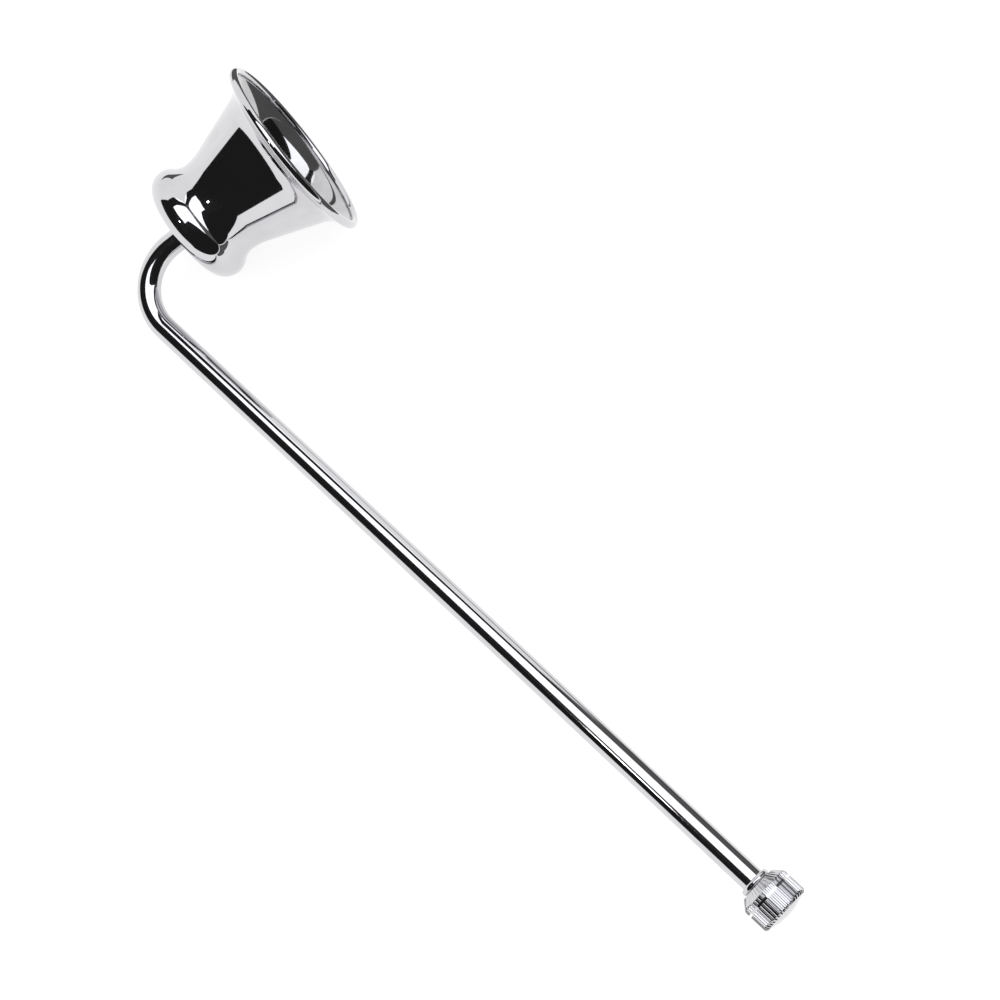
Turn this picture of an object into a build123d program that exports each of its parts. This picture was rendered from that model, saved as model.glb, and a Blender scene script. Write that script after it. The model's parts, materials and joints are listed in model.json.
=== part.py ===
"""A candle snuffer: a spun bell on a bent tube handle, with a knurled knob that screws on.

Millimetres, +Z up, with the table at Z = 0 and the origin under the middle of the object.
It lies as it rests by itself, on its lip, on the bulge of its crown and on its knob: the handle
runs along +X to the knob, and the bell's mouth faces +Y and a little up.
"""

import os
from math import acos, asin, atan2, cos, degrees, hypot, pi, radians, sin, sqrt, tan

from build123d import *

# Bell: a spun shell with a flat crown, a bulge, a neck, a flare and a rolled lip
mouth_radius = 22.5
bell_height = 33.4
bell_wall = 1.0
bulge_radius = 14.45
bulge_round = 4.2
neck_inset = 2.28
neck_drop = 5.87
flare_round = 14.0
flange_length = 4.2
flange_angle = radians(63)
flange_round = 6.5
lip_bead_radius = 1.0
lip_bead_stand = 0.15

# Handle: a round tube, bent next to the bell
tube_radius = 2.75
tube_wall = 0.7
bend_radius = 12.3
bend_angle = radians(76.5)
neck_straight = 2.9
handle_straight = 182.3

# Crown collar: a bead ring between the crown and the handle
collar_stand = 0.45
collar_height = 1.4

# Threaded studs, soldered into the ends of the tube
solder_gap = 0.05
thread_pitch = 0.7
thread_clearance = 0.05
bell_stud_end = 0.8
knob_stud_depth = 10.0

# Washer and hexagon nut inside the bell
washer_margin = 1.0
washer_thickness = 0.8
nut_wall = 1.45
nut_height = 3.2
nut_chamfer_angle = radians(30)

# Knob ferrule: a bead ring between the handle and the knob
ferrule_stand = 0.85
ferrule_height = 1.5

# Knob: a knurled ring with a conical shoulder, a groove, a longer knurled ring and a low domed end
knob_radius = 6.0
shoulder_stand = 0.7
shoulder_height = 1.9
rim_height = 1.05
groove_depth = 0.7
groove_width = 0.6
knob_ring_height = 4.35
knob_edge_bevel = 0.5
dome_height = 0.9
knob_end_wall = 2.2
knob_bore_end_gap = 0.6
knurl_count = 40
knurl_depth = 0.3
knurl_crest_share = 0.36
knurl_root_share = 0.24

# The studs fill the bore of the tube, and what they pass through clears their thread
thread_radius = tube_radius - tube_wall - solder_gap
thread_chamfer = thread_pitch / 2
hole_radius = thread_radius + thread_clearance
collar_radius = tube_radius + collar_stand
ferrule_radius = tube_radius + ferrule_stand
nut_flat_radius = hole_radius + nut_wall
nut_corner_radius = nut_flat_radius / cos(pi / 6)
nut_corner_drop = (nut_corner_radius - nut_flat_radius) * tan(nut_chamfer_angle)
washer_radius = nut_flat_radius + washer_margin

# Levels on the bell, up its axis from the plane of the mouth
crown_flat_radius = bulge_radius - bulge_round
neck_radius = bulge_radius - neck_inset
bulge_level = bell_height - bulge_round
neck_level = bulge_level - neck_drop
crown_inner_level = bell_height - bell_wall
washer_level = crown_inner_level - washer_thickness
nut_level = washer_level - nut_height
bell_stud_level = nut_level - bell_stud_end

# The bulge and the neck are two arcs that meet in line
neck_turn = 2 * atan2(neck_inset, neck_drop)
neck_round = (neck_inset**2 + neck_drop**2) / (2 * neck_inset) - bulge_round

# The flange runs into the rolled bead of the lip, and the flare runs straight to it from the neck's curve
lip_ring_radius = mouth_radius - lip_bead_radius
flange_inset = lip_bead_radius - lip_bead_stand
flange_end_radius = lip_ring_radius + flange_inset * cos(flange_angle)
flange_end_level = lip_bead_radius + flange_inset * sin(flange_angle)
flange_start_radius = flange_end_radius - flange_length * sin(flange_angle)
flange_start_level = flange_end_level + flange_length * cos(flange_angle)
flare_run = flange_start_radius - neck_radius - flare_round
flare_fall = flange_start_level - neck_level
flare_angle = atan2(flare_fall, flare_run) + acos(-flare_round / hypot(flare_run, flare_fall))
flange_turn = flange_angle - flare_angle
flange_setback = flange_round * tan(flange_turn / 2)

# Levels on the knob, along the handle from the knob's inner face
groove_level = shoulder_height + rim_height
ring_level = groove_level + groove_width
ring_end_level = ring_level + knob_ring_height
bevel_level = ring_end_level - knob_edge_bevel
knob_length = ring_end_level + dome_height
dome_radius = knob_radius - knob_edge_bevel
shoulder_radius = ferrule_radius + shoulder_stand
groove_radius = knob_radius - groove_depth
core_radius = knob_radius - knurl_depth
knob_bore_depth = knob_length - knob_end_wall
knob_stud_reach = knob_bore_depth - knob_bore_end_gap

# Distances from the corner where the bell's axis and the handle's axis would cross
bend_setback = bend_radius * tan((pi - bend_angle) / 2)
corner_to_collar = bend_setback + neck_straight
corner_to_crown = corner_to_collar + collar_height
corner_to_mouth = corner_to_crown + bell_height
corner_to_lip = corner_to_mouth - lip_bead_radius
corner_to_bulge = corner_to_mouth - bulge_level
corner_to_tube_end = bend_setback + handle_straight
corner_to_knob = corner_to_tube_end + ferrule_height
corner_to_bevel = corner_to_knob + bevel_level

# Resting on a table: the lip and the bulge of the bell touch it, and the knob's end edge
rest_span = corner_to_lip - corner_to_bulge
rest_rise = lip_ring_radius - crown_flat_radius
rest_round = lip_bead_radius - bulge_round
bell_tilt = atan2(rest_rise, rest_span) + asin(rest_round / hypot(rest_span, rest_rise))
corner_height = lip_ring_radius * cos(bell_tilt) + lip_bead_radius - corner_to_lip * sin(bell_tilt)
knob_reach = hypot(corner_to_bevel, knob_radius)
handle_tilt = atan2(knob_radius, corner_to_bevel) - asin(corner_height / knob_reach)

# Directions from that corner: along the handle to the knob, and along the bell to its mouth
handle_way = Vector(cos(handle_tilt), 0, sin(handle_tilt))
bell_way_x = (cos(bend_angle) - sin(handle_tilt) * sin(bell_tilt)) / cos(handle_tilt)
bell_way_y = sqrt(cos(bell_tilt) ** 2 - bell_way_x**2)
bell_way = Vector(bell_way_x, bell_way_y, sin(bell_tilt))

# The middle of the lying object: the lip and the knob reach furthest
low_x = bell_way.X * corner_to_lip - lip_ring_radius * sqrt(1 - bell_way.X**2) - lip_bead_radius
high_x = handle_way.X * (corner_to_knob + knob_length)
high_y = bell_way.Y * corner_to_lip + lip_ring_radius * sqrt(1 - bell_way.Y**2) + lip_bead_radius
middle_x = (low_x + high_x) / 2
middle_y = (high_y - knob_radius) / 2

corner = Vector(-middle_x, -middle_y, corner_height)
mouth = corner + bell_way * corner_to_mouth
tube_bell_end = corner + bell_way * corner_to_collar
tube_knob_end = corner + handle_way * corner_to_tube_end
knob_base = corner + handle_way * corner_to_knob
crown_way = bell_way * -1

bell_axis = Axis(mouth, crown_way)
handle_axis = Axis(tube_knob_end, handle_way)


def downhill(way):
    """The direction square to way that points most steeply to the table."""
    return way.cross(way.cross(Vector(0, 0, 1))).normalized()


def cross_plane(start, way, distance=0):
    """A plane square to way, some distance along it, with its X axis to the table."""
    return Plane(origin=start + way * distance, x_dir=downhill(way), z_dir=way)


def turning_plane(start, way):
    """A plane for a turned profile: X is the radius and Y runs along way."""
    return Plane(origin=start, x_dir=downhill(way), z_dir=downhill(way).cross(way))


def bead_profile(bore_radius, radius, height):
    """Half the section of a ring with a full round edge."""
    flat_radius = radius - height / 2
    with BuildLine() as section:
        Polyline((flat_radius, 0), (bore_radius, 0), (bore_radius, height), (flat_radius, height))
        ThreePointArc((flat_radius, height), (radius, height / 2), (flat_radius, 0))
    make_face(section.edges())


def knurl_outline(tip_radius):
    """A ring of straight knurl ridges, seen from its end."""
    pitch_angle = 2 * pi / knurl_count
    crest_angle = pitch_angle * knurl_crest_share / 2
    root_angle = pitch_angle * (1 - knurl_root_share) / 2
    root_radius = tip_radius - knurl_depth
    points = []
    for ridge in range(knurl_count):
        middle_angle = ridge * pitch_angle
        for radius, turn in (
            (root_radius, -root_angle),
            (tip_radius, -crest_angle),
            (tip_radius, crest_angle),
            (root_radius, root_angle),
        ):
            angle = middle_angle + turn
            points.append((radius * cos(angle), radius * sin(angle)))
    with BuildLine() as outline:
        Polyline(*points, close=True)
    make_face(outline.edges())


# Bell
flange_start = Vector(flange_start_radius, flange_start_level)
flange_end = Vector(flange_end_radius, flange_end_level)
with BuildPart() as bell:
    with BuildSketch(turning_plane(mouth, crown_way)):
        with BuildLine():
            crown_line = Line((hole_radius, bell_height), (crown_flat_radius, bell_height))
            bulge_arc = JernArc(crown_line @ 1, crown_line % 1, bulge_round, -90 - degrees(neck_turn))
            neck_arc = JernArc(bulge_arc @ 1, bulge_arc % 1, neck_round, degrees(neck_turn))
            flare_arc = JernArc(neck_arc @ 1, neck_arc % 1, flare_round, degrees(flare_angle))
            flare_line = Line(flare_arc @ 1, flange_start - (flare_arc % 1) * flange_setback)
            flange_arc = JernArc(flare_line @ 1, flare_line % 1, flange_round, degrees(flange_turn))
            Line(flange_arc @ 1, flange_end)
            offset(amount=bell_wall, side=Side.RIGHT)
        make_face()
        with Locations((lip_ring_radius, lip_bead_radius)):
            Circle(lip_bead_radius)
    revolve(axis=bell_axis)

# Crown collar
with BuildPart() as crown_collar:
    with BuildSketch(turning_plane(mouth + crown_way * bell_height, crown_way)):
        bead_profile(hole_radius, collar_radius, collar_height)
    revolve(axis=bell_axis)

# Handle tube
with BuildPart() as handle_tube:
    with BuildLine() as handle_path:
        FilletPolyline(tube_bell_end, corner, tube_knob_end, radius=bend_radius)
    with BuildSketch(cross_plane(tube_bell_end, crown_way)):
        Circle(tube_radius)
        Circle(thread_radius + solder_gap, mode=Mode.SUBTRACT)
    sweep(path=handle_path.line)

# Bell stud, as deep as the tube is straight
bell_stud_length = bell_height - bell_stud_level + collar_height + neck_straight
with BuildPart() as bell_stud:
    with BuildSketch(cross_plane(mouth, crown_way, bell_stud_level)):
        Circle(thread_radius)
    extrude(amount=bell_stud_length)
    chamfer(bell_stud.edges().filter_by(GeomType.CIRCLE), thread_chamfer)

# Washer under the nut
with BuildPart() as bell_washer:
    with BuildSketch(cross_plane(mouth, crown_way, washer_level)):
        Circle(washer_radius)
        Circle(hole_radius, mode=Mode.SUBTRACT)
    extrude(amount=washer_thickness)

# Nut, with its corners turned down at both faces
with BuildPart() as bell_nut:
    with BuildSketch(cross_plane(mouth, crown_way, nut_level)):
        RegularPolygon(nut_flat_radius, 6, major_radius=False)
        Circle(hole_radius, mode=Mode.SUBTRACT)
    extrude(amount=nut_height)
    with BuildSketch(turning_plane(mouth + crown_way * nut_level, crown_way)):
        with BuildLine():
            Polyline(
                (0, 0),
                (nut_flat_radius, 0),
                (nut_corner_radius, nut_corner_drop),
                (nut_corner_radius, nut_height - nut_corner_drop),
                (nut_flat_radius, nut_height),
                (0, nut_height),
                close=True,
            )
        make_face()
    revolve(axis=bell_axis, mode=Mode.INTERSECT)

# Knob stud
with BuildPart() as knob_stud:
    with BuildSketch(cross_plane(tube_knob_end, handle_way, -knob_stud_depth)):
        Circle(thread_radius)
    extrude(amount=knob_stud_depth + ferrule_height + knob_stud_reach)
    chamfer(knob_stud.edges().filter_by(GeomType.CIRCLE), thread_chamfer)

# Knob ferrule
with BuildPart() as knob_ferrule:
    with BuildSketch(turning_plane(tube_knob_end, handle_way)):
        bead_profile(hole_radius, ferrule_radius, ferrule_height)
    revolve(axis=handle_axis)

# Knob: a turned core, the knurled rings round it and a tapped bore
with BuildPart() as knob:
    with BuildSketch(turning_plane(knob_base, handle_way)):
        with BuildLine():
            Polyline(
                (0, knob_length),
                (0, 0),
                (shoulder_radius - knurl_depth, 0),
                (core_radius, shoulder_height),
                (core_radius, groove_level),
                (groove_radius, groove_level),
                (groove_radius, ring_level),
                (core_radius, ring_level),
                (core_radius, bevel_level),
                (dome_radius - knurl_depth, ring_end_level),
            )
            TangentArc((0, knob_length), (dome_radius - knurl_depth, ring_end_level), tangent=(1, 0))
        make_face()
    revolve(axis=handle_axis)
    with BuildSketch(cross_plane(knob_base, handle_way)):
        knurl_outline(shoulder_radius)
    with BuildSketch(cross_plane(knob_base, handle_way, shoulder_height)):
        knurl_outline(knob_radius)
    loft(ruled=True)
    with BuildSketch(cross_plane(knob_base, handle_way, shoulder_height)):
        knurl_outline(knob_radius)
    extrude(amount=rim_height)
    with BuildSketch(cross_plane(knob_base, handle_way, ring_level)):
        knurl_outline(knob_radius)
    extrude(amount=knob_ring_height - knob_edge_bevel)
    with BuildSketch(cross_plane(knob_base, handle_way, bevel_level)):
        knurl_outline(knob_radius)
    with BuildSketch(cross_plane(knob_base, handle_way, ring_end_level)):
        knurl_outline(dome_radius)
    loft(ruled=True)
    with BuildSketch(cross_plane(knob_base, handle_way)):
        Circle(hole_radius)
    extrude(amount=knob_bore_depth, mode=Mode.SUBTRACT)

# One file for each piece
pieces = {
    "bell": bell,
    "crown_collar": crown_collar,
    "handle_tube": handle_tube,
    "bell_stud": bell_stud,
    "bell_washer": bell_washer,
    "bell_nut": bell_nut,
    "knob_stud": knob_stud,
    "knob_ferrule": knob_ferrule,
    "knob": knob,
}
os.makedirs("parts", exist_ok=True)
for name, piece in pieces.items():
    piece.part.label = name
    export_step(piece.part, f"parts/{name}.step")

# Places for the joints and the mounts
print("bell tilt", round(degrees(bell_tilt), 3), "handle tilt", round(degrees(handle_tilt), 3))
print("corner", corner, "mouth", mouth)
print("bell way", bell_way, "handle way", handle_way)
print("tube knob end", tube_knob_end, "knob base", knob_base)
print("knob travel for each turn", thread_pitch)
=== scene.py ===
"""Candle snuffer: the looks of its plated bell, its bent handle and its screw-on knob."""

import json
from math import acos, atan2, cos, hypot, pi, radians, sin, sqrt, tan

import bmesh
import bpy
from bpy.props import FloatProperty, FloatVectorProperty, IntProperty, PointerProperty
from mathutils import Matrix, Vector


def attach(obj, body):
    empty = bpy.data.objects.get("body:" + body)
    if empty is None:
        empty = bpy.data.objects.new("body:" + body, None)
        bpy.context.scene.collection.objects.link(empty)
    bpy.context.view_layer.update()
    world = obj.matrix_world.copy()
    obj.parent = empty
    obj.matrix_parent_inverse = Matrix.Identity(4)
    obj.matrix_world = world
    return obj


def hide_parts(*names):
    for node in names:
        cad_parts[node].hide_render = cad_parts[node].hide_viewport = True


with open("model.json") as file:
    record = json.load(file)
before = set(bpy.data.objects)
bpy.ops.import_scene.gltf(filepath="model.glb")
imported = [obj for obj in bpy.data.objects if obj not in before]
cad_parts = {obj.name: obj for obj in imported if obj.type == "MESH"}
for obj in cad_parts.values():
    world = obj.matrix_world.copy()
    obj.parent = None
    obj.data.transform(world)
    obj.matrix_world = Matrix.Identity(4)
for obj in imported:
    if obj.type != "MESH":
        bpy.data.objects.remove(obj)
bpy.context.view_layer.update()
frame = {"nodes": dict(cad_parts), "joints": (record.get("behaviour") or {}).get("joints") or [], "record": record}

bl_info = {
    "name": "Candle snuffer",
    "version": (1, 0, 0),
    "blender": (4, 5, 0),
    "location": "3D View > Sidebar > Snuffer",
    "description": "Builds a plated candle snuffer round its fixed frame, and a pale stage for it",
    "category": "Object",
}

mm = 0.001
white = (1.0, 1.0, 1.0, 1.0)
mounts = {mount["name"]: mount for mount in frame["record"]["mounts"]}
joints = {joint["name"]: joint for joint in frame["joints"]}

# Places that the frame gives: the bell's axis runs to its crown, and the handle's axis to the knob
mouth = Vector(mounts["bell_mouth"]["pos_m"])
crown_way = -Vector(mounts["bell_mouth"]["axis"]).normalized()
knob_base = Vector(joints["knob_turn"]["pos_m"])
handle_way = Vector(joints["knob_turn"]["axis"]).normalized()


def linear(hex_colour):
    """The linear red, green, blue and alpha of an sRGB colour such as #D6D5D8."""
    channels = []
    for first in (1, 3, 5):
        value = int(hex_colour[first : first + 2], 16) / 255
        channels.append(value / 12.92 if value <= 0.04045 else ((value + 0.055) / 1.055) ** 2.4)
    return (*channels, 1.0)


def length(name, millimetres, description):
    """A size that the sidebar shows with its unit."""
    return FloatProperty(
        name=name, description=description, default=millimetres * mm, min=0, unit="LENGTH", precision=5
    )


def angle(name, degrees, description):
    """An angle that the sidebar shows in degrees."""
    return FloatProperty(name=name, description=description, default=radians(degrees), subtype="ANGLE")


def share(name, value, description):
    """A part of a whole, from 0 to 1."""
    return FloatProperty(name=name, description=description, default=value, min=0, max=1, subtype="FACTOR")


def strength(name, value, description):
    """How bright a light is."""
    return FloatProperty(name=name, description=description, default=value, min=0)


def colour(name, hex_colour, description):
    """A colour that the sidebar shows as a swatch."""
    return FloatVectorProperty(
        name=name, description=description, default=linear(hex_colour), size=4, min=0, max=1, subtype="COLOR"
    )


class BellSizes(bpy.types.PropertyGroup):
    """Sizes of the spun bell, with levels counted up its axis from the mouth."""

    mouth_radius: length("Mouth radius", 22.5, "Half the width over the rolled lip")
    height: length("Height", 33.4, "From the plane of the mouth to the flat of the crown")
    wall: length("Wall", 1.0, "Thickness of the spun sheet")
    bulge_radius: length("Bulge radius", 14.45, "Half the width over the bulge under the crown")
    bulge_round: length("Bulge rounding", 4.2, "Radius of the bulge's outline")
    neck_inset: length("Neck inset", 2.28, "How far the neck draws in from the bulge")
    neck_drop: length("Neck drop", 5.87, "How far the neck lies below the bulge")
    flare_round: length("Flare rounding", 14.0, "Radius of the curve from the neck into the flare")
    flange_length: length("Flange length", 4.2, "Length of the wide flange at the mouth")
    flange_angle: angle("Flange angle", 63, "Slope of the flange from the bell's axis")
    flange_round: length("Flange rounding", 6.5, "Radius where the flare turns into the flange")
    bead_radius: length("Bead radius", 1.0, "Radius of the rolled bead round the lip")
    bead_stand: length("Bead stand", 0.15, "How far the bead stands above the flange")
    collar_height: length("Collar height", 1.4, "Height of the bead ring between crown and handle")
    collar_stand: length("Collar stand", 0.45, "How far that ring stands out from the handle")
    stud_level: length("Stud level", 27.6, "Level of the end of the stud inside the bell")


class HandleSizes(bpy.types.PropertyGroup):
    """Sizes of the bent tube and of the studs in its ends."""

    radius: length("Tube radius", 2.75, "Half the width of the handle")
    wall: length("Tube wall", 0.7, "Thickness of the tube's wall")
    bend_radius: length("Bend radius", 12.3, "Radius of the bend, at the middle of the tube")
    bend_angle: angle("Bend angle", 76.5, "Angle between the bell's axis and the handle")
    neck_straight: length("Neck straight", 2.9, "Straight run between the collar and the bend")
    straight: length("Handle straight", 182.3, "Straight run from the bend to the knob's ferrule")
    thread_radius: length("Thread radius", 2.0, "Half the width over the thread of a stud")
    thread_pitch: length("Thread pitch", 0.7, "Distance from one turn of the thread to the next")
    thread_depth: length("Thread depth", 0.4, "Depth of the thread")
    thread_gap: length("Thread gap", 0.05, "Room round a stud in the holes that it passes through")
    knob_stud_depth: length("Knob stud depth", 10.0, "How deep the knob's stud sits in the tube")
    knob_stud_reach: length("Knob stud reach", 6.0, "How far the knob's stud reaches into the knob")


class KnobSizes(bpy.types.PropertyGroup):
    """Sizes of the knurled knob, with levels counted from its inner face, and of its ferrule."""

    radius: length("Knob radius", 6.0, "Half the width over the knurled rings")
    shoulder_radius: length("Shoulder radius", 4.3, "Radius of the conical shoulder at the ferrule")
    shoulder_height: length("Shoulder height", 1.9, "Height of the conical shoulder")
    rim_height: length("Rim height", 1.05, "Height of the straight rim above the shoulder")
    groove_depth: length("Groove depth", 0.7, "Depth of the groove between the rings")
    groove_width: length("Groove width", 0.6, "Width of the groove between the rings")
    ring_height: length("Ring height", 4.35, "Height of the longer knurled ring")
    edge_bevel: length("Edge bevel", 0.5, "Bevel at the end of the longer ring")
    dome_height: length("Dome height", 0.9, "How far the low dome stands above the ring")
    bore_depth: length("Bore depth", 6.6, "Depth of the tapped bore")
    knurl_count: IntProperty(name="Knurl count", description="Ridges round the knob", default=40, min=3)
    knurl_depth: length("Knurl depth", 0.3, "Depth of the grooves between the ridges")
    knurl_crest: share("Knurl crest", 0.3, "Part of each ridge's spacing that is its crest")
    knurl_root: share("Knurl root", 0.2, "Part of each ridge's spacing that is the root of the groove")
    ferrule_height: length("Ferrule height", 1.5, "Height of the bead ring between handle and knob")
    ferrule_stand: length("Ferrule stand", 0.85, "How far that ring stands out from the handle")


class FinishColours(bpy.types.PropertyGroup):
    """Colours of the finishes."""

    plate: colour("Plate", "#CFCED1", "Chromium plate, as it reflects white")
    # Inside shade: painted shade, a dark warm brown that the inside of the bell is mixed towards
    plate_haze: colour("Plate haze", "#C9C7C8", "The plate where it is lightly fingered")
    inside_shade: colour("Inside_shade", "#57524A", "The film that candle smoke leaves inside the bell")
    brass: colour("Brass", "#D2AE66", "Turned brass of the studs")
    zinc: colour("Zinc", "#C3C6CB", "Bright zinc on the nut and the washer")


class StageLooks(bpy.types.PropertyGroup):
    """The camera, the floor, the light and what the plate mirrors."""

    azimuth: angle("Azimuth", 60.274, "Turn of the camera about the vertical, from looking along +Y")
    elevation: angle("Elevation", 72.502, "Height of the camera above the horizon")
    roll: angle("Roll", -16.664, "Roll of the camera about its own axis")
    distance: length("Distance", 482.873, "From the camera to the point that it aims at")
    aim: FloatVectorProperty(
        name="Aim",
        description="The point in the middle of the picture",
        default=(0.067 * mm, -1.49 * mm, -0.251 * mm),
        subtype="TRANSLATION",
    )
    lens: FloatProperty(name="Lens", description="Focal length", default=77.1137, unit="CAMERA")
    floor: colour("Floor", "#A0A0A0", "Opal board under the snuffer, as it looks unlit")
    floor_half: length("Floor half", 2000, "Half the width of the board")
    floor_light: strength("Floor light", 0.75, "Light that shines up through the board")
    light: strength("Light", 1.1, "Strength of the white light all round")
    flag_black: colour("Black flag", "#222222", "The flags that the plate mirrors as dark")
    flag_grey: colour("Grey flag", "#606060", "The far flag and the mat, which the plate mirrors as grey")
    flag_light: strength("Flag light", 1.0, "Strength of the flags' own faint light")
    flag_reach: length("Flag reach", 5000, "From the snuffer to the flags")
    over_colour: colour("Overhead colour", "#F8FBFF", "The wide light above the snuffer")
    over_light: strength("Overhead light", 2.0, "Strength of the wide light")
    over_reach: length("Overhead reach", 6000, "From the snuffer to the wide light")
    spot_light: strength("Spot light", 15.0, "Strength of the small light that makes a glint on the bell")
    spot_reach: length("Spot reach", 4000, "From the snuffer to the small light")
    mat_height: length("Mat height", 1.5, "How far the grey mat lies above the floor")


# Turned shapes: an outline is rows of radius, level and the way that the surface faces there

same_point = mm / 1000
plain_stroke = 0.0
ridged_stroke = 1.0


def line(start, end, steps=1):
    """A straight stretch of an outline, with the solid on its left."""
    run = end[0] - start[0]
    rise = end[1] - start[1]
    size = hypot(run, rise)
    rows = []
    for step in range(steps + 1):
        part = step / steps
        rows.append((start[0] + run * part, start[1] + rise * part, rise / size, -run / size))
    return rows


def arc(centre, radius, first, last, steps):
    """A round stretch of an outline, which bulges out where its angle grows and in where it falls."""
    facing = 1 if last > first else -1
    rows = []
    for step in range(steps + 1):
        turn = first + (last - first) * step / steps
        rows.append(
            (
                centre[0] + radius * cos(turn),
                centre[1] + radius * sin(turn),
                facing * cos(turn),
                facing * sin(turn),
            )
        )
    return rows


def straight_spine(place):
    """The frame at each level of a shape that is turned about a straight axis."""
    return lambda level: place @ Matrix.Translation((0, 0, level))


def axis_place(start, way):
    """A frame with its Z axis along way and its X axis towards the table."""
    down = way.cross(way.cross(Vector((0, 0, 1)))).normalized()
    across = way.cross(down)
    turn = Matrix((down, across, way)).transposed()
    return Matrix.Translation(start) @ turn.to_4x4()


def turned_mesh(name, strokes, spine, segments, finish_of=None, ridged=None):
    """A closed mesh of rings about a spine. The strokes of its outline join end to end, and an end on the
    axis closes in a point. It gets a UV map in metres, round the ring and along the outline. Its faces take
    the finish of their stroke, and its points the share of the strokes that are ridged."""
    rings = []
    faces = []
    normals = []
    places = []
    finishes = []
    ridges = []
    points = []
    finish_of = finish_of or [0] * len(strokes)
    ridge_of = ridged or [plain_stroke] * len(strokes)
    widest = max(row[0] for stroke in strokes for row in stroke)
    turns = [2 * pi * step / segments for step in range(segments + 1)]
    rounds = [(cos(turn), sin(turn)) for turn in turns]
    first_row = strokes[0][0]
    last_row = strokes[-1][-1]
    closes = hypot(first_row[0] - last_row[0], first_row[1] - last_row[1]) < same_point

    def ring_at(row, ridge):
        """The index of a new ring of points at this row."""
        here = spine(row[1])
        first = len(points)
        count = segments if row[0] > same_point else 1
        for around, across in rounds[:count]:
            points.append(here @ Vector((row[0] * around, row[0] * across, 0)))
            ridges.append(ridge)
        rings.append((first, count))
        return len(rings) - 1

    travelled = 0.0
    below = ring_at(first_row, ridge_of[0])
    for number, stroke in enumerate(strokes):
        for start, end in zip(stroke, stroke[1:]):
            above = 0 if closes and end is last_row else ring_at(end, ridge_of[number])
            step = hypot(end[0] - start[0], end[1] - start[1])
            low, low_count = rings[below]
            high, high_count = rings[above]
            low_turn = spine(start[1]).to_3x3()
            high_turn = spine(end[1]).to_3x3()
            low_ways = [low_turn @ Vector((start[2] * x, start[2] * y, start[3])) for x, y in rounds]
            high_ways = [high_turn @ Vector((end[2] * x, end[2] * y, end[3])) for x, y in rounds]
            for side in range(segments):
                after = (side + 1) % segments
                corners = []
                if low_count > 1:
                    corners.append((low + side, low_ways[side], turns[side], travelled))
                    corners.append((low + after, low_ways[side + 1], turns[side + 1], travelled))
                else:
                    corners.append((low, low_ways[side], turns[side], travelled))
                if high_count > 1:
                    corners.append((high + after, high_ways[side + 1], turns[side + 1], travelled + step))
                    corners.append((high + side, high_ways[side], turns[side], travelled + step))
                else:
                    corners.append((high, high_ways[side], turns[side], travelled + step))
                faces.append([corner[0] for corner in corners])
                finishes.append(finish_of[number])
                for corner in corners:
                    normals.append(corner[1])
                    places.append((corner[2] * widest, corner[3]))
            travelled += step
            below = above

    mesh = bpy.data.meshes.new(name)
    mesh.from_pydata(points, [], faces)
    layer = mesh.uv_layers.new(name="Turning")
    for loop, place in zip(layer.data, places):
        loop.uv = place
    mesh.polygons.foreach_set("material_index", finishes)
    mesh.shade_smooth()
    if ridged:
        values = mesh.attributes.new("ridged", "FLOAT", "POINT")
        values.data.foreach_set("value", ridges)
    else:
        mesh.normals_split_custom_set(normals)
    mesh.update()
    return mesh


def bead_outline(bore_radius, radius, height):
    """Half the section of a ring with a full round edge."""
    middle = (radius - height / 2, height / 2)
    return [
        arc(middle, height / 2, -pi / 2, pi / 2, steps=24),
        line((middle[0], height), (bore_radius, height)),
        line((bore_radius, height), (bore_radius, 0)),
        line((bore_radius, 0), (middle[0], 0)),
    ]


def add_piece(name, mesh, finishes, body, node):
    """Put a finished mesh into the scene, on its body, in the place of its CAD node."""
    for finish in finishes:
        mesh.materials.append(finish)
    piece = bpy.data.objects.new(name, mesh)
    bpy.context.scene.collection.objects.link(piece)
    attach(piece, body)
    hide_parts(node)
    return piece


# Nodes


def add_node(tree, kind, settings=None, links=None):
    """Add a node to a tree. A setting is one of its properties or the value of an input, and a link joins
    another node's output to an input. Inputs go by name or by number."""
    node = tree.nodes.new(kind)
    for key, value in (settings or {}).items():
        if isinstance(key, str) and hasattr(node, key):
            setattr(node, key, value)
        else:
            node.inputs[key].default_value = value
    for key, source in (links or {}).items():
        tree.links.new(source, node.inputs[key])
    return node


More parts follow.
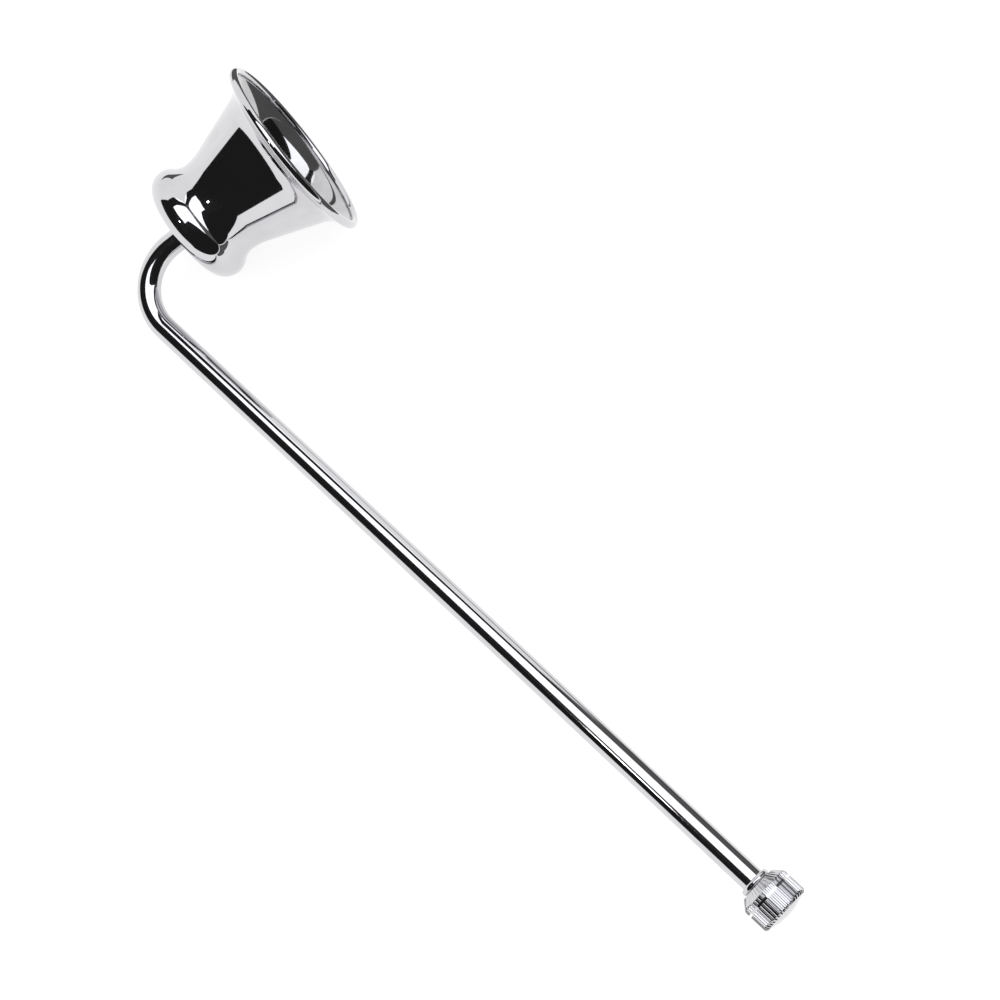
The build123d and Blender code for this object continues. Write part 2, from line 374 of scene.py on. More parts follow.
def ridge_cutter():
    """A tree that cuts ridges into a blank turned about Z: straight ones for a knurl, or a helix for a
    thread. It cuts only where the blank's ridged attribute says."""
    tree = bpy.data.node_groups.new("Ridge cutter", "GeometryNodeTree")
    tree.interface.new_socket("Geometry", in_out="INPUT", socket_type="NodeSocketGeometry")
    for name in ("Ridges Around", "Ridges Along", "Depth", "Crest Edge", "Root Edge"):
        tree.interface.new_socket(name, in_out="INPUT", socket_type="NodeSocketFloat")
    tree.interface.new_socket("Finish", in_out="INPUT", socket_type="NodeSocketMaterial")
    tree.interface.new_socket("Geometry", in_out="OUTPUT", socket_type="NodeSocketGeometry")
    given = add_node(tree, "NodeGroupInput").outputs
    position = add_node(tree, "GeometryNodeInputPosition").outputs[0]
    parts = add_node(tree, "ShaderNodeSeparateXYZ", links={0: position}).outputs
    turn = add_node(
        tree, "ShaderNodeMath", {"operation": "ARCTAN2"}, {0: parts["Y"], 1: parts["X"]}
    ).outputs[0]
    whole = add_node(tree, "ShaderNodeMath", {"operation": "DIVIDE", 1: 2 * pi}, {0: turn}).outputs[0]
    along = add_node(
        tree, "ShaderNodeMath", {"operation": "MULTIPLY"}, {0: parts["Z"], 1: given["Ridges Along"]}
    ).outputs[0]
    count = add_node(
        tree,
        "ShaderNodeMath",
        {"operation": "MULTIPLY_ADD"},
        {0: whole, 1: given["Ridges Around"], 2: along},
    ).outputs[0]
    from_crest = add_node(tree, "ShaderNodeMath", {"operation": "PINGPONG", 1: 0.5}, {0: count}).outputs[0]
    cut = add_node(
        tree,
        "ShaderNodeMapRange",
        {"interpolation_type": "SMOOTHSTEP"},
        {"Value": from_crest, "From Min": given["Crest Edge"], "From Max": given["Root Edge"]},
    ).outputs[0]
    ridged = add_node(
        tree, "GeometryNodeInputNamedAttribute", {"data_type": "FLOAT", "Name": "ridged"}
    ).outputs[0]
    where = add_node(tree, "ShaderNodeMath", {"operation": "MULTIPLY"}, {0: cut, 1: ridged}).outputs[0]
    inward = add_node(
        tree, "ShaderNodeMath", {"operation": "MULTIPLY", 1: -1.0}, {0: given["Depth"]}
    ).outputs[0]
    amount = add_node(tree, "ShaderNodeMath", {"operation": "MULTIPLY"}, {0: where, 1: inward}).outputs[0]
    flat = add_node(tree, "ShaderNodeCombineXYZ", links={"X": parts["X"], "Y": parts["Y"]}).outputs[0]
    outward = add_node(tree, "ShaderNodeVectorMath", {"operation": "NORMALIZE"}, {0: flat}).outputs[0]
    offset = add_node(
        tree, "ShaderNodeVectorMath", {"operation": "SCALE"}, {0: outward, "Scale": amount}
    ).outputs[0]
    moved = add_node(
        tree, "GeometryNodeSetPosition", links={"Geometry": given["Geometry"], "Offset": offset}
    ).outputs[0]
    real = add_node(tree, "GeometryNodeRealizeInstances", links={"Geometry": moved}).outputs[0]
    dressed = add_node(
        tree, "GeometryNodeSetMaterial", links={"Geometry": real, "Material": given["Finish"]}
    ).outputs[0]
    add_node(tree, "NodeGroupOutput", links={"Geometry": dressed})
    return tree


def cut_ridges(blank, place, sizes, finish):
    """The plain mesh of a blank with its ridges cut, at its place. The sizes are the tree's named inputs."""
    sharp_angle = radians(40)
    tree = bpy.data.node_groups.get("Ridge cutter") or ridge_cutter()
    holder = bpy.data.objects.new(blank.name + "_blank", blank)
    bpy.context.scene.collection.objects.link(holder)
    modifier = holder.modifiers.new("Ridges", "NODES")
    modifier.node_group = tree
    values = {**sizes, "Finish": finish}
    for socket in tree.interface.items_tree:
        if socket.in_out == "INPUT" and socket.name in values:
            modifier[socket.identifier] = values[socket.name]
    graph = bpy.context.evaluated_depsgraph_get()
    mesh = bpy.data.meshes.new_from_object(holder.evaluated_get(graph))
    holder.modifiers.clear()
    bpy.data.objects.remove(holder)
    mesh.name = blank.name + "_cut"
    mesh.transform(place)
    mesh.shade_smooth()
    mesh.set_sharp_from_angle(angle=sharp_angle)
    mesh.materials.clear()
    return mesh


# Finishes


def new_finish(name, settings):
    """A material with one metal shader, and its tree, its shader and its Object and UV coordinates."""
    material = bpy.data.materials.new(name)
    material.use_nodes = True
    tree = material.node_tree
    tree.nodes.clear()
    shader = add_node(tree, "ShaderNodeBsdfPrincipled", {"Metallic": 1.0, **settings})
    add_node(tree, "ShaderNodeOutputMaterial", links={"Surface": shader.outputs[0]})
    coordinates = add_node(tree, "ShaderNodeTexCoord").outputs
    return material, tree, shader, coordinates


def mirror_plate(colours):
    """Chromium plate on buffed brass. It is nearly a perfect mirror: the eye sees the light and dark of the
    room in it, a little wavy from the spinning, with a faint haze where it has been handled."""
    if "chromium_plate_buffed" in bpy.data.materials:
        return bpy.data.materials["chromium_plate_buffed"]
    material, tree, shader, coordinates = new_finish("chromium_plate_buffed", {})
    haze_size = 9 * mm
    ripple_size = 5 * mm
    ripple_height = 0.0012 * mm
    # Real buffing lines are finer: these are as coarse as they need to be to show
    buff_spacing = 0.5 * mm
    buff_length = 12.5 * mm
    haze = add_node(
        tree,
        "ShaderNodeTexNoise",
        {"Scale": 1 / haze_size, "Detail": 4.0, "Roughness": 0.6},
        {"Vector": coordinates["Object"]},
    ).outputs["Fac"]
    stretch = add_node(
        tree,
        "ShaderNodeMapping",
        {"Scale": (1 / buff_length, 1 / buff_spacing, 1.0)},
        {"Vector": coordinates["UV"]},
    ).outputs[0]
    buff = add_node(
        tree, "ShaderNodeTexNoise", {"Scale": 1.0, "Detail": 3.0}, {"Vector": stretch}
    ).outputs["Fac"]
    fingered = add_node(
        tree, "ShaderNodeMapRange", {"From Min": 0.5, "From Max": 0.75}, {"Value": haze}
    ).outputs[0]
    tint = add_node(
        tree,
        "ShaderNodeMix",
        {"data_type": "RGBA", 6: colours.plate, 7: colours.plate_haze},
        {0: fingered},
    ).outputs[2]
    tree.links.new(tint, shader.inputs["Base Color"])
    dull = add_node(
        tree, "ShaderNodeMapRange", {"To Min": 0.015, "To Max": 0.045}, {"Value": haze}
    ).outputs[0]
    lines = add_node(
        tree, "ShaderNodeMapRange", {"To Min": 0.0, "To Max": 0.03}, {"Value": buff}
    ).outputs[0]
    rough = add_node(tree, "ShaderNodeMath", {"operation": "ADD"}, {0: dull, 1: lines}).outputs[0]
    tree.links.new(rough, shader.inputs["Roughness"])
    ripple = add_node(
        tree,
        "ShaderNodeTexNoise",
        {"Scale": 1 / ripple_size, "Detail": 1.0},
        {"Vector": coordinates["Object"]},
    ).outputs["Fac"]
    bump = add_node(
        tree, "ShaderNodeBump", {"Strength": 1.0, "Distance": ripple_height}, {"Height": ripple}
    ).outputs[0]
    tree.links.new(bump, shader.inputs["Normal"])
    return material


def plate_with_painted_shade(colours):
    """The same plate inside the bell, with painted shade: it is mixed in soft patches towards a dark warm brown,
    so it still mirrors, but darker, warmer and less sharply."""
    material, tree, shader, coordinates = new_finish("chromium_plate_painted_shade", {})
    shade_patch_size = 7 * mm
    shade_noise = add_node(
        tree,
        "ShaderNodeTexNoise",
        {"Scale": 1 / shade_patch_size, "Detail": 5.0, "Roughness": 0.6},
        {"Vector": coordinates["Object"]},
    ).outputs["Fac"]
    shade_share = add_node(
        tree,
        "ShaderNodeMapRange",
        {"From Min": 0.25, "From Max": 0.75, "To Min": 0.1, "To Max": 0.4},
        {"Value": shade_noise},
    ).outputs[0]
    # Painted shade: the inside is mixed in soft patches towards the dark warm brown
    tint = add_node(
        tree,
        "ShaderNodeMix",
        {"data_type": "RGBA", 6: colours.plate, 7: colours.inside_shade},
        {0: shade_share},
    ).outputs[2]
    tree.links.new(tint, shader.inputs["Base Color"])
    rough = add_node(
        tree, "ShaderNodeMapRange", {"To Min": 0.03, "To Max": 0.1}, {"Value": shade_noise}
    ).outputs[0]
    tree.links.new(rough, shader.inputs["Roughness"])
    return material


def turned_brass(colours):
    """Brass bar, turned and threaded: a warm yellow metal with fine bright tool lines round it."""
    if "brass_turned" in bpy.data.materials:
        return bpy.data.materials["brass_turned"]
    material, tree, shader, coordinates = new_finish("brass_turned", {"Base Color": colours.brass})
    tool_spacing = 0.12 * mm
    tool_length = 4 * mm
    tool_height = 0.004 * mm
    stretch = add_node(
        tree,
        "ShaderNodeMapping",
        {"Scale": (1 / tool_length, 1 / tool_spacing, 1.0)},
        {"Vector": coordinates["UV"]},
    ).outputs[0]
    tool = add_node(
        tree, "ShaderNodeTexNoise", {"Scale": 1.0, "Detail": 2.0}, {"Vector": stretch}
    ).outputs["Fac"]
    rough = add_node(
        tree, "ShaderNodeMapRange", {"To Min": 0.18, "To Max": 0.38}, {"Value": tool}
    ).outputs[0]
    tree.links.new(rough, shader.inputs["Roughness"])
    bump = add_node(
        tree, "ShaderNodeBump", {"Strength": 0.5, "Distance": tool_height}, {"Height": tool}
    ).outputs[0]
    tree.links.new(bump, shader.inputs["Normal"])
    return material


def bright_zinc(colours):
    """Zinc on steel, from a barrel: a pale, slightly blue metal with small soft blotches and scuffs."""
    material, tree, shader, coordinates = new_finish("steel_bright_zinc", {"Base Color": colours.zinc})
    blotch_size = 1.2 * mm
    blotch_height = 0.02 * mm
    blotch = add_node(
        tree,
        "ShaderNodeTexNoise",
        {"Scale": 1 / blotch_size, "Detail": 6.0, "Roughness": 0.65},
        {"Vector": coordinates["Object"]},
    ).outputs["Fac"]
    rough = add_node(
        tree, "ShaderNodeMapRange", {"To Min": 0.2, "To Max": 0.5}, {"Value": blotch}
    ).outputs[0]
    tree.links.new(rough, shader.inputs["Roughness"])
    bump = add_node(
        tree, "ShaderNodeBump", {"Strength": 0.3, "Distance": blotch_height}, {"Height": blotch}
    ).outputs[0]
    tree.links.new(bump, shader.inputs["Normal"])
    return material


# Pieces


def bell_strokes(bell, hole_radius):
    """The bell's outline in two lists that join: from inside its lip, round the bead, up the outside and
    through the hole in the crown, and then down the inside to the lip again."""
    lip_steps = 48
    flange_steps = 6
    rounding_steps = 14
    flare_steps = 16
    bulge_steps = 40
    hollow_steps = 32
    crown_steps = 4
    crown_flat = bell.bulge_radius - bell.bulge_round
    bulge = (crown_flat, bell.height - bell.bulge_round)
    neck_level = bulge[1] - bell.neck_drop
    neck_radius = bell.bulge_radius - bell.neck_inset
    neck_turn = 2 * atan2(bell.neck_inset, bell.neck_drop)
    neck_round = (bell.neck_inset**2 + bell.neck_drop**2) / (2 * bell.neck_inset) - bell.bulge_round
    neck = (neck_radius + neck_round, neck_level)
    flare = (neck_radius + bell.flare_round, neck_level)
    bead = (bell.mouth_radius - bell.bead_radius, bell.bead_radius)
    slope = bell.flange_angle
    inset = bell.bead_radius - bell.bead_stand
    flange_end = (bead[0] + inset * cos(slope), bead[1] + inset * sin(slope))
    flange_start = (
        flange_end[0] - bell.flange_length * sin(slope),
        flange_end[1] + bell.flange_length * cos(slope),
    )
    run = flange_start[0] - flare[0]
    fall = flange_start[1] - neck_level
    flare_angle = atan2(fall, run) + acos(-bell.flare_round / hypot(run, fall))
    setback = bell.flange_round * tan((slope - flare_angle) / 2)
    flange = (
        flange_start[0] - setback * sin(flare_angle) + bell.flange_round * cos(flare_angle),
        flange_start[1] + setback * cos(flare_angle) + bell.flange_round * sin(flare_angle),
    )

    def on_arc(centre, radius, turn):
        """The point of an arc at this angle."""
        return (centre[0] + radius * cos(turn), centre[1] + radius * sin(turn))

    def on_bead(stand):
        """The angle round the bead where a flange face that lies this far from its middle meets it."""
        return slope + atan2(sqrt(bell.bead_radius**2 - stand**2), stand)

    outer_bead = on_bead(inset)
    inner_bead = on_bead(inset - bell.wall)
    flare_inner = bell.flare_round + bell.wall
    flange_inner = bell.flange_round + bell.wall
    crown_inner = bell.height - bell.wall
    outside = [
        arc(bead, bell.bead_radius, inner_bead, outer_bead + 2 * pi, lip_steps),
        line(
            on_arc(bead, bell.bead_radius, outer_bead),
            on_arc(flange, bell.flange_round, pi + slope),
            flange_steps,
        ),
        arc(flange, bell.flange_round, pi + slope, pi + flare_angle, rounding_steps),
        line(
            on_arc(flange, bell.flange_round, pi + flare_angle),
            on_arc(flare, bell.flare_round, pi + flare_angle),
            flare_steps,
        ),
        arc(flare, bell.flare_round, pi + flare_angle, pi, flare_steps),
        arc(neck, neck_round, pi, pi - neck_turn, flare_steps),
        arc(bulge, bell.bulge_round, -neck_turn, pi / 2, bulge_steps),
        line((crown_flat, bell.height), (hole_radius, bell.height), crown_steps),
        line((hole_radius, bell.height), (hole_radius, crown_inner)),
    ]
    inside = [
        line((hole_radius, crown_inner), (crown_flat, crown_inner), crown_steps),
        arc(bulge, bell.bulge_round - bell.wall, pi / 2, -neck_turn, hollow_steps),
        arc(neck, neck_round + bell.wall, pi - neck_turn, pi, flare_steps),
        arc(flare, flare_inner, pi, pi + flare_angle, flare_steps),
        line(
            on_arc(flare, flare_inner, pi + flare_angle),
            on_arc(flange, flange_inner, pi + flare_angle),
            flare_steps,
        ),
        arc(flange, flange_inner, pi + flare_angle, pi + slope, rounding_steps),
        line(
            on_arc(flange, flange_inner, pi + slope),
            on_arc(bead, bell.bead_radius, inner_bead),
            flange_steps,
        ),
    ]
    return outside, inside


def stud_strokes(radius, length_of_stud, chamfer, steps):
    """A rod with chamfered ends, from the axis at its foot to the axis at its tip."""
    return [
        line((0, 0), (radius - chamfer, 0)),
        line((radius - chamfer, 0), (radius, chamfer)),
        line((radius, chamfer), (radius, length_of_stud - chamfer), steps),
        line((radius, length_of_stud - chamfer), (radius - chamfer, length_of_stud)),
        line((radius - chamfer, length_of_stud), (0, length_of_stud)),
    ]


def threaded_stud(name, place, length_of_stud, handle, finish):
    """A stud with its thread cut, whose crest and root are the usual shares of the pitch."""
    crest_share = 1 / 8
    root_share = 1 / 4
    rings_per_turn = 10
    chamfer = handle.thread_pitch / 2
    steps = round(rings_per_turn * length_of_stud / handle.thread_pitch)
    strokes = stud_strokes(handle.thread_radius, length_of_stud, chamfer, steps)
    ridged = [plain_stroke, ridged_stroke, ridged_stroke, plain_stroke, plain_stroke]
    spine = straight_spine(Matrix.Identity(4))
    blank = turned_mesh(name, strokes, spine, segments=48, ridged=ridged)
    sizes = {
        "Ridges Around": -1.0,
        "Ridges Along": 1 / handle.thread_pitch,
        "Depth": handle.thread_depth,
        "Crest Edge": crest_share / 2,
        "Root Edge": (1 - root_share) / 2,
    }
    return cut_ridges(blank, place, sizes, finish)


class SNUFFER_OT_bell(bpy.types.Operator):
    """Spin the bell, plated outside and with painted shade inside"""

    bl_idname = "snuffer.bell"
    bl_label = "Bell"

    def execute(self, context):
        scene = context.scene
        hole_radius = scene.snuffer_handle.thread_radius + scene.snuffer_handle.thread_gap
        outside, inside = bell_strokes(scene.snuffer_bell, hole_radius)
        finish_of = [0] * len(outside) + [1] * len(inside)
        spine = straight_spine(axis_place(mouth, crown_way))
        mesh = turned_mesh("bell_spun", outside + inside, spine, segments=256, finish_of=finish_of)
        finishes = [mirror_plate(scene.snuffer_colours), plate_with_painted_shade(scene.snuffer_colours)]
        add_piece("bell_spun", mesh, finishes, "handle", "bell")
        return {"FINISHED"}


class SNUFFER_OT_beads(bpy.types.Operator):
    """Turn the bead rings at the two ends of the handle"""

    bl_idname = "snuffer.beads"
    bl_label = "Collar and ferrule"

    def execute(self, context):
        scene = context.scene
        bell = scene.snuffer_bell
        handle = scene.snuffer_handle
        knob = scene.snuffer_knob
        finish = mirror_plate(scene.snuffer_colours)
        hole_radius = handle.thread_radius + handle.thread_gap
        crown = mouth + crown_way * bell.height
        tube_end = knob_base - handle_way * knob.ferrule_height
        for node, body, start, way, stand, height in (
            ("crown_collar", "handle", crown, crown_way, bell.collar_stand, bell.collar_height),
            ("knob_ferrule", "ferrule", tube_end, handle_way, knob.ferrule_stand, knob.ferrule_height),
        ):
            name = node + "_turned"
            strokes = bead_outline(hole_radius, handle.radius + stand, height)
            mesh = turned_mesh(name, strokes, straight_spine(axis_place(start, way)), segments=128)
            add_piece(name, mesh, [finish], body, node)
        return {"FINISHED"}


class SNUFFER_OT_handle(bpy.types.Operator):
    """Draw the handle's tube along its bend and its straight run"""

    bl_idname = "snuffer.handle"
    bl_label = "Handle"

    def execute(self, context):
        scene = context.scene
        handle = scene.snuffer_handle
        turn = pi - handle.bend_angle
        setback = handle.bend_radius * tan(turn / 2)
        tube_end = knob_base - handle_way * scene.snuffer_knob.ferrule_height
        corner = tube_end - handle_way * (handle.straight + setback)
        hinge = crown_way.cross(handle_way).normalized()
        bend_start = corner - crown_way * setback
        bend_centre = bend_start + hinge.cross(crown_way) * handle.bend_radius
        bend_end = corner + handle_way * setback
        bend_level = handle.neck_straight
        run_level = bend_level + handle.bend_radius * turn
        end_level = run_level + handle.straight

        def spine(level):
            """The frame at this distance along the middle of the tube, from the collar."""
            swing = min(max((level - bend_level) / handle.bend_radius, 0.0), turn)
            swung = Matrix.Rotation(swing, 3, hinge)
            way = swung @ crown_way
            if level < bend_level:
                middle = bend_start + crown_way * (level - bend_level)
            elif level > run_level:
                middle = bend_end + handle_way * (level - run_level)
            else:
                middle = bend_centre + swung @ (bend_start - bend_centre)
            axes = Matrix((hinge, way.cross(hinge), way)).transposed()
            return Matrix.Translation(middle) @ axes.to_4x4()

        bore = handle.radius - handle.wall
        # Each stretch of the tube: its two levels and its count of rings
        stations = [(0.0, bend_level, 2), (bend_level, run_level, 72), (run_level, end_level, 60)]
        strokes = [line((handle.radius, low), (handle.radius, high), steps) for low, high, steps in stations]
        strokes.append(line((handle.radius, end_level), (bore, end_level)))
        for low, high, steps in reversed(stations):
            strokes.append(line((bore, high), (bore, low), steps))
        strokes.append(line((bore, 0.0), (handle.radius, 0.0)))
        mesh = turned_mesh("handle_tube_drawn", strokes, spine, segments=96)
        finish = mirror_plate(scene.snuffer_colours)
        add_piece("handle_tube_drawn", mesh, [finish], "handle", "handle_tube")
        return {"FINISHED"}


class SNUFFER_OT_fasteners(bpy.types.Operator):
    """Thread the two studs, and finish the nut and the washer"""

    bl_idname = "snuffer.fasteners"
    bl_label = "Studs, nut and washer"

    def execute(self, context):
        scene = context.scene
        bell = scene.snuffer_bell
        handle = scene.snuffer_handle
        knob = scene.snuffer_knob
        brass = turned_brass(scene.snuffer_colours)
        bell_foot = mouth + crown_way * bell.stud_level
        bell_length = bell.height - bell.stud_level + bell.collar_height + handle.neck_straight
        knob_foot = knob_base - handle_way * (knob.ferrule_height + handle.knob_stud_depth)
        knob_length = handle.knob_stud_depth + knob.ferrule_height + handle.knob_stud_reach
        for node, foot, way, reach in (
            ("bell_stud", bell_foot, crown_way, bell_length),
            ("knob_stud", knob_foot, handle_way, knob_length),
        ):
            name = node + "_threaded"
            mesh = threaded_stud(name, axis_place(foot, way), reach, handle, brass)
            add_piece(name, mesh, [brass], "handle", node)
        zinc = bright_zinc(scene.snuffer_colours)
        for node in ("bell_nut", "bell_washer"):
            for slot in frame["nodes"][node].material_slots:
                slot.material = zinc
        return {"FINISHED"}


class SNUFFER_OT_knob(bpy.types.Operator):
    """Turn the knob and cut its knurl"""

    bl_idname = "snuffer.knob"
    bl_label = "Knob"

    def execute(self, context):
        scene = context.scene
        knob = scene.snuffer_knob
        handle = scene.snuffer_handle
        bore = handle.thread_radius + handle.thread_gap
        groove_level = knob.shoulder_height + knob.rim_height
        ring_level = groove_level + knob.groove_width
        ring_end = ring_level + knob.ring_height
        bevel_level = ring_end - knob.edge_bevel
        dome_radius = knob.radius - knob.edge_bevel
        dome_gap = knob.edge_bevel / 10
        dome_foot = dome_radius - knob.knurl_depth - dome_gap
        dome_round = (dome_foot**2 + knob.dome_height**2) / (2 * knob.dome_height)
        dome_centre = (0.0, ring_end + knob.dome_height - dome_round)
        dome_turn = acos(dome_foot / dome_round)
        groove = knob.radius - knob.groove_depth
        strokes_and_ridges = [
            (line((0.0, knob.bore_depth), (bore, knob.bore_depth)), plain_stroke),
            (line((bore, knob.bore_depth), (bore, 0.0), steps=2), plain_stroke),
            (line((bore, 0.0), (knob.shoulder_radius, 0.0)), ridged_stroke),
            (line((knob.shoulder_radius, 0.0), (knob.radius, knob.shoulder_height), steps=6), ridged_stroke),
            (line((knob.radius, knob.shoulder_height), (knob.radius, groove_level), steps=3), ridged_stroke),
            (line((knob.radius, groove_level), (groove, groove_level)), plain_stroke),
            (line((groove, groove_level), (groove, ring_level), steps=2), plain_stroke),
            (line((groove, ring_level), (knob.radius, ring_level)), ridged_stroke),
            (line((knob.radius, ring_level), (knob.radius, bevel_level), steps=6), ridged_stroke),
            (line((knob.radius, bevel_level), (dome_radius, ring_end), steps=2), ridged_stroke),
            (line((dome_radius, ring_end), (dome_foot, ring_end)), plain_stroke),
            (arc(dome_centre, dome_round, dome_turn, pi / 2, steps=12), plain_stroke),
        ]
        strokes = [stroke for stroke, _ in strokes_and_ridges]
        ridged = [ridge for _, ridge in strokes_and_ridges]
        spine = straight_spine(Matrix.Identity(4))
        sides_per_ridge = 16
        sides = sides_per_ridge * knob.knurl_count
        blank = turned_mesh("knob_knurled", strokes, spine, segments=sides, ridged=ridged)
        finish = mirror_plate(scene.snuffer_colours)
        sizes = {
            "Ridges Around": float(knob.knurl_count),
            "Ridges Along": 0.0,
            "Depth": knob.knurl_depth,
            "Crest Edge": knob.knurl_crest / 2,
            "Root Edge": (1 - knob.knurl_root) / 2,
        }
        mesh = cut_ridges(blank, axis_place(knob_base, handle_way), sizes, finish)
        add_piece("knob_knurled", mesh, [finish], "knob", "knob")
        return {"FINISHED"}


# Stage


def glow(name, light_colour, light_strength):
    """A plain surface that gives off light, for the flags and lights that the plate mirrors."""
    material = bpy.data.materials.new(name)
    material.use_nodes = True
    tree = material.node_tree
    tree.nodes.clear()
    light = add_node(tree, "ShaderNodeEmission", {"Color": light_colour, "Strength": light_strength})
    add_node(tree, "ShaderNodeOutputMaterial", links={"Surface": light.outputs[0]})
    return material


def show_in_plate(name, mesh, material):
    """Put a mesh on the stage that shows only as a reflection."""
    mesh.materials.append(material)
    flag = bpy.data.objects.new(name, mesh)
    bpy.context.scene.collection.objects.link(flag)
    flag.visible_camera = False
    flag.visible_diffuse = False
    flag.visible_transmission = False
    flag.visible_volume_scatter = False
    flag.visible_shadow = False


def add_flag(name, corners, reach, material):
    """A studio flag or light on a wide dome over the snuffer. Its corners are in degrees from the zenith,
    towards +X and towards +Y."""
    cuts_per_edge = 7
    work = bmesh.new()
    face = work.faces.new([work.verts.new((*corner, 0)) for corner in corners])
    bmesh.ops.triangulate(work, faces=[face])
    bmesh.ops.subdivide_edges(work, edges=work.edges, cuts=cuts_per_edge, use_grid_fill=True)
    for point in work.verts:
        tilt = radians(hypot(point.co.x, point.co.y))
        heading = atan2(point.co.y, point.co.x)
        way = Vector((sin(tilt) * cos(heading), sin(tilt) * sin(heading), cos(tilt)))
        point.co = way * reach
    mesh = bpy.data.meshes.new(name)
    work.to_mesh(mesh)
    work.free()
    show_in_plate(name, mesh, material)


def skyline(first, last, below):
    """Corners of a flag along the horizon, or this many degrees below it, between two headings in degrees."""
    spacing = 8
    tilt = 90 + below
    steps = round((last - first) / spacing)
    headings = [radians(first + (last - first) * step / steps) for step in range(steps + 1)]
    return [(tilt * cos(heading), tilt * sin(heading)) for heading in headings]


def light_tent(scene, looks):
    """Even white light from all round."""
    world = bpy.data.worlds.new("White tent")
    world.use_nodes = True
    background = world.node_tree.nodes["Background"]
    background.inputs["Color"].default_value = white
    background.inputs["Strength"].default_value = looks.light
    scene.world = world


def lay_floor(scene, looks):
    """A matt opal board, lit a little from below, so that it looks white and shadows on it stay faint."""
    board = bpy.data.materials.new("opal_board")
    board.use_nodes = True
    shader = board.node_tree.nodes["Principled BSDF"]
    settings = {
        "Base Color": looks.floor,
        "Roughness": 1.0,
        "Specular IOR Level": 0.0,
        "Emission Color": white,
        "Emission Strength": looks.floor_light,
    }
    for name, value in settings.items():
        shader.inputs[name].default_value = value
    half = looks.floor_half
    corners = [(-half, -half, 0), (half, -half, 0), (half, half, 0), (-half, half, 0)]
    mesh = bpy.data.meshes.new("floor")
    mesh.from_pydata(corners, [], [range(len(corners))])
    mesh.materials.append(board)
    floor = bpy.data.objects.new("floor", mesh)
    scene.collection.objects.link(floor)


def hang_flags(looks):
    """The flags and lights that show only in the plate. Neighbours share edges, so no gap shows."""
    black = glow("flag_black", looks.flag_black, looks.flag_light)
    grey = glow("flag_grey", looks.flag_grey, looks.flag_light)
    overhead = glow("light_overhead", looks.over_colour, looks.over_light)
    bulb = glow("light_bulb", white, looks.spot_light)
    low = [(-47, -12), (-71, -37), *skyline(210, 282, -5), *skyline(290, 405, 1)]
    low += [(45, 42), (25, 20), (12, 4), (8, -20), (2, -18), (0, -52)]
    low += [(-5, -46), (-10, -40), (-12, -19), (-28, -12)]
    arch = [(-28, -12), (-25, 0), (-22, 10), (-18, 18), (-13, 31), (-7, 45)]
    arch += [(-12, 56), (-17, 44), (-22, 34), (-37, 20), (-45, -5), (-47, -12)]
    far = [(-12, 56), (-7, 45), (0, 48), (20, 46), (45, 42), *skyline(45, 98, 1)]
    over = [(-30, -20), (10, -60), (40, 30), (48, 48), (-10, 60), (-30, 30)]
    spot_middle = (-6.5, -37)
    spot_radius = 2
    spot_sides = 8
    spot = []
    for side in range(spot_sides):
        turn = 2 * pi * side / spot_sides
        spot.append((spot_middle[0] + spot_radius * cos(turn), spot_middle[1] + spot_radius * sin(turn)))
    add_flag("flag_low", low, looks.flag_reach, black)
    add_flag("flag_arch", arch, looks.flag_reach, black)
    add_flag("flag_far", far, looks.flag_reach, grey)
    add_flag("light_over", over, looks.over_reach, overhead)
    add_flag("light_spot", spot, looks.spot_reach, bulb)
    # The mat, beyond the mouth and beside the handle, by its corners in millimetres
    edge = [(-420, 47), (-30, 47), (60, -4), (400, -4), (400, 1500), (-420, 1500)]
    mat = bpy.data.meshes.new("mat")
    mat.from_pydata([(x * mm, y * mm, looks.mat_height) for x, y in edge], [], [range(len(edge))])
    show_in_plate("mat", mat, grey)


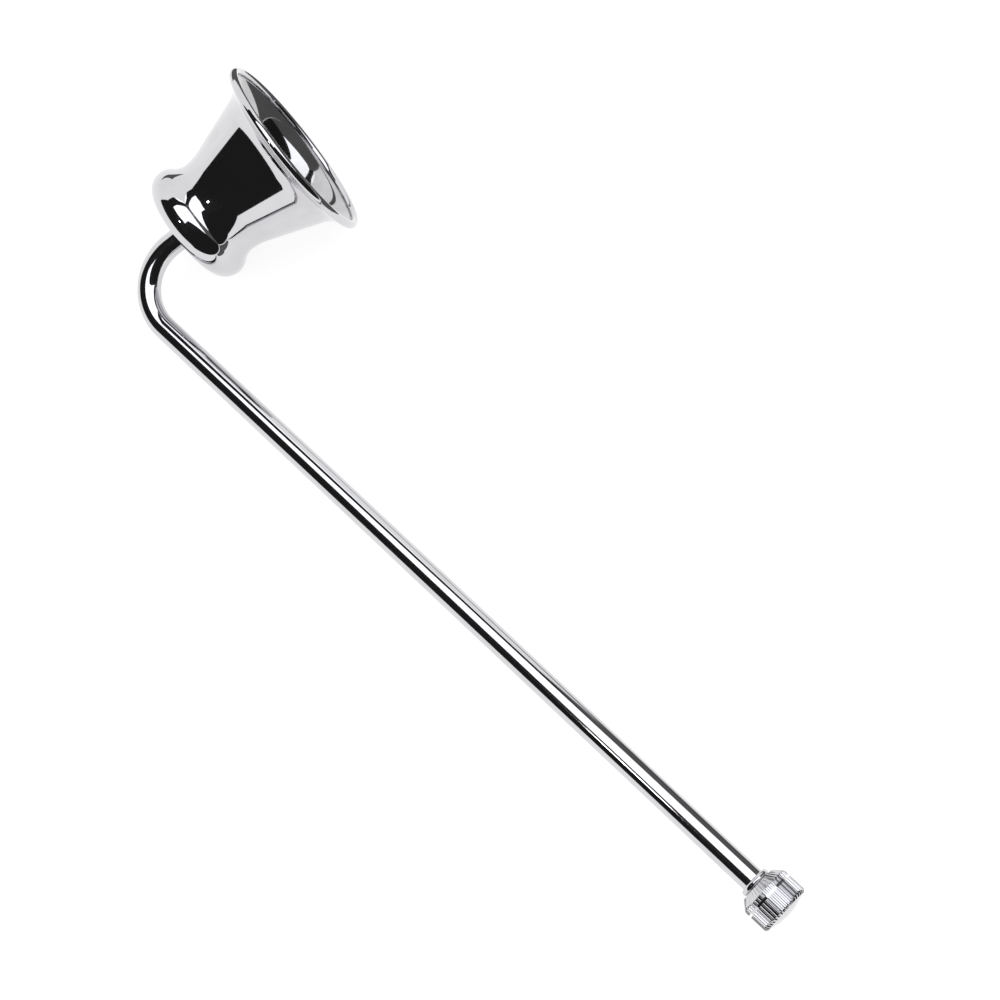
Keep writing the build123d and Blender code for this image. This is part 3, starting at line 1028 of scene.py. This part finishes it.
def place_camera(scene, looks):
    """The camera, at the photograph's viewing angle."""
    data = bpy.data.cameras.new("Camera")
    data.lens = looks.lens
    camera = bpy.data.objects.new("Camera", data)
    scene.collection.objects.link(camera)
    turn = (
        Matrix.Rotation(looks.azimuth, 4, "Z")
        @ Matrix.Rotation(pi / 2 - looks.elevation, 4, "X")
        @ Matrix.Rotation(looks.roll, 4, "Z")
    )
    back = Matrix.Translation((0, 0, looks.distance))
    camera.matrix_world = Matrix.Translation(looks.aim) @ turn @ back
    scene.camera = camera


class SNUFFER_OT_stage(bpy.types.Operator):
    """Set up the pale floor, the soft light, the flags that the plate mirrors and the camera"""

    bl_idname = "snuffer.stage"
    bl_label = "Stage"

    def execute(self, context):
        scene = context.scene
        looks = scene.snuffer_stage
        scene.view_settings.view_transform = "Standard"
        light_tent(scene, looks)
        lay_floor(scene, looks)
        hang_flags(looks)
        place_camera(scene, looks)
        return {"FINISHED"}


class SNUFFER_PT_sidebar(bpy.types.Panel):
    """The steps that build the snuffer"""

    bl_idname = "SNUFFER_PT_sidebar"
    bl_label = "Candle snuffer"
    bl_space_type = "VIEW_3D"
    bl_region_type = "UI"
    bl_category = "Snuffer"

    def draw(self, context):
        for operator in operators:
            self.layout.operator(operator.bl_idname)


groups = {
    "snuffer_bell": BellSizes,
    "snuffer_handle": HandleSizes,
    "snuffer_knob": KnobSizes,
    "snuffer_colours": FinishColours,
    "snuffer_stage": StageLooks,
}
operators = (
    SNUFFER_OT_bell,
    SNUFFER_OT_beads,
    SNUFFER_OT_handle,
    SNUFFER_OT_fasteners,
    SNUFFER_OT_knob,
    SNUFFER_OT_stage,
)


def register():
    """Add the settings, the operators and the panel to Blender."""
    for name, group in groups.items():
        bpy.utils.register_class(group)
        setattr(bpy.types.Scene, name, PointerProperty(type=group))
    for operator in operators:
        bpy.utils.register_class(operator)
    bpy.utils.register_class(SNUFFER_PT_sidebar)


def unregister():
    """Take them out again."""
    bpy.utils.unregister_class(SNUFFER_PT_sidebar)
    for operator in reversed(operators):
        bpy.utils.unregister_class(operator)
    for name, group in groups.items():
        delattr(bpy.types.Scene, name)
        bpy.utils.unregister_class(group)


def main():
    """Register the add-on, and build every piece and the stage."""
    register()
    bpy.ops.snuffer.bell()
    bpy.ops.snuffer.beads()
    bpy.ops.snuffer.handle()
    bpy.ops.snuffer.fasteners()
    bpy.ops.snuffer.knob()
    bpy.ops.snuffer.stage()


if __name__ == "__main__":
    main()
